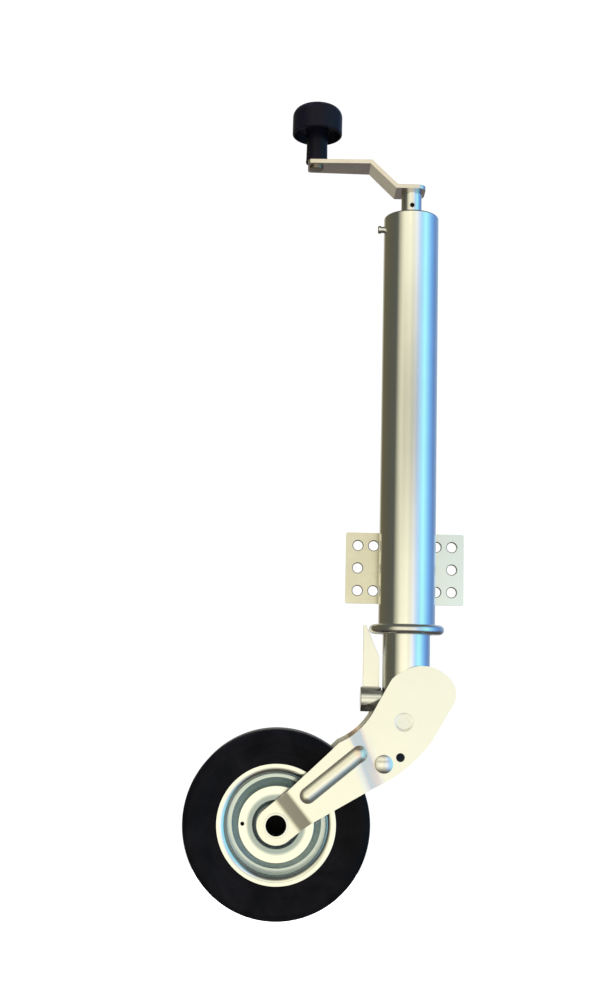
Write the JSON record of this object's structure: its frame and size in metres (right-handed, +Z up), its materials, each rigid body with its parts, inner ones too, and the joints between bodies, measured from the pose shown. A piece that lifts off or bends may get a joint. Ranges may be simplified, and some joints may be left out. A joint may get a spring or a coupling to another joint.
{
  "type": "jockey wheel",
  "caption": "Crank-operated trailer jockey wheel with a flanged mounting plate, telescopic tube and a solid-tyred wheel on a folding fork with a spring lock.",
  "frame": {"origin": "centre of the mounting plate's rear face", "axes": "+Z up along the tube, +Y out of the plate's rear face towards the vehicle's frame, -X towards the trailing wheel"},
  "size_m": [0.292, 0.079, 0.8721],
  "materials": {
    "zinc_tube": "zinc plated drawn steel tube",
    "zinc_turned": "zinc plated turned steel",
    "zinc_plate": "zinc plated steel plate",
    "zinc_sheet": "zinc plated pressed sheet",
    "zinc_arm": "zinc plated flat bar",
    "rim_zinc": "zinc plated pressed rim",
    "weld_metal": "plated weld bead",
    "bearing_steel": "bright steel",
    "spindle_steel": "greased steel screw",
    "spring_steel": "oiled spring wire",
    "nut_brass": "turned brass",
    "guide_plastic": "moulded black plastic",
    "knob_plastic": "moulded black plastic, fine grain",
    "tyre_rubber": "solid black rubber"
  },
  "bodies": {
    "root": {"outer_tube": "zinc_tube", "release_ring": "zinc_turned", "mounting_plate": "zinc_plate", "weld_beads": "weld_metal", "top_cap": "zinc_turned", "thrust_bearing": "bearing_steel", "lower_bush": "guide_plastic", "guide_key": "bearing_steel", "grease_nipple": "zinc_turned"},
    "crank": {"spindle": "spindle_steel", "crank_hub": "zinc_turned", "roll_pin": "bearing_steel", "crank_arm": "zinc_arm", "knob_pin": "zinc_turned"},
    "knob": {"knob": "knob_plastic"},
    "slider": {"inner_tube": "zinc_tube", "spindle_nut": "nut_brass", "nut_pins": "bearing_steel", "guide_ring": "guide_plastic", "pivot_sleeve": "bearing_steel", "bolt_guide": "zinc_turned"},
    "lock": {"lock_bolt": "bearing_steel", "bolt_barrel": "zinc_turned", "release_wedge": "zinc_sheet", "lock_spring": "spring_steel"},
    "fork": {"fork_cheek_front": "zinc_sheet", "fork_cheek_rear": "zinc_sheet", "pivot_pin": "zinc_turned", "cross_pin": "zinc_turned", "cross_spacer": "zinc_turned", "catch_plate": "zinc_sheet", "axle_tube": "zinc_turned", "axle_washers": "zinc_turned"},
    "wheel": {"hub_tube": "rim_zinc", "hub_bush_front": "guide_plastic", "hub_bush_rear": "guide_plastic", "rim_half_front": "rim_zinc", "rim_half_rear": "rim_zinc", "tyre": "tyre_rubber"}
  },
  "joints": [
    {"name": "inner_tube_slide", "type": "slide", "parent": "root", "child": "slider", "axis": [0, 0, -1], "range_m": [0, 0.22]},
    {"name": "crank_turn", "type": "hinge", "parent": "root", "child": "crank", "pos_m": [0, -0.036, 0.4], "axis": [0, 0, 1], "continuous": true},
    {"name": "knob_spin", "type": "hinge", "parent": "crank", "child": "knob", "pos_m": [-0.1055, -0.036, 0.47], "axis": [0, 0, 1], "continuous": true},
    {"name": "fork_fold", "type": "hinge", "parent": "slider", "child": "fork", "pos_m": [-0.004, -0.036, -0.1612], "axis": [0, 1, 0], "range_deg": [0, 52]},
    {"name": "lock_slide", "type": "slide", "parent": "slider", "child": "lock", "axis": [-1, 0, 0], "range_m": [0, 0.0145], "stiffness_N_per_m": 800, "springref_m": -0.008, "deforming": ["lock_spring"]},
    {"name": "wheel_spin", "type": "hinge", "parent": "fork", "child": "wheel", "pos_m": [-0.13203, -0.036, -0.26749], "axis": [0, 1, 0], "continuous": true}
  ],
  "couplings": [
    {"joint": "crank_turn", "follows": "inner_tube_slide", "rad_per_m": 1570.8},
    {"joint": "lock_slide", "follows": "fork_fold", "m_per_rad": 0.01597}
  ]
}
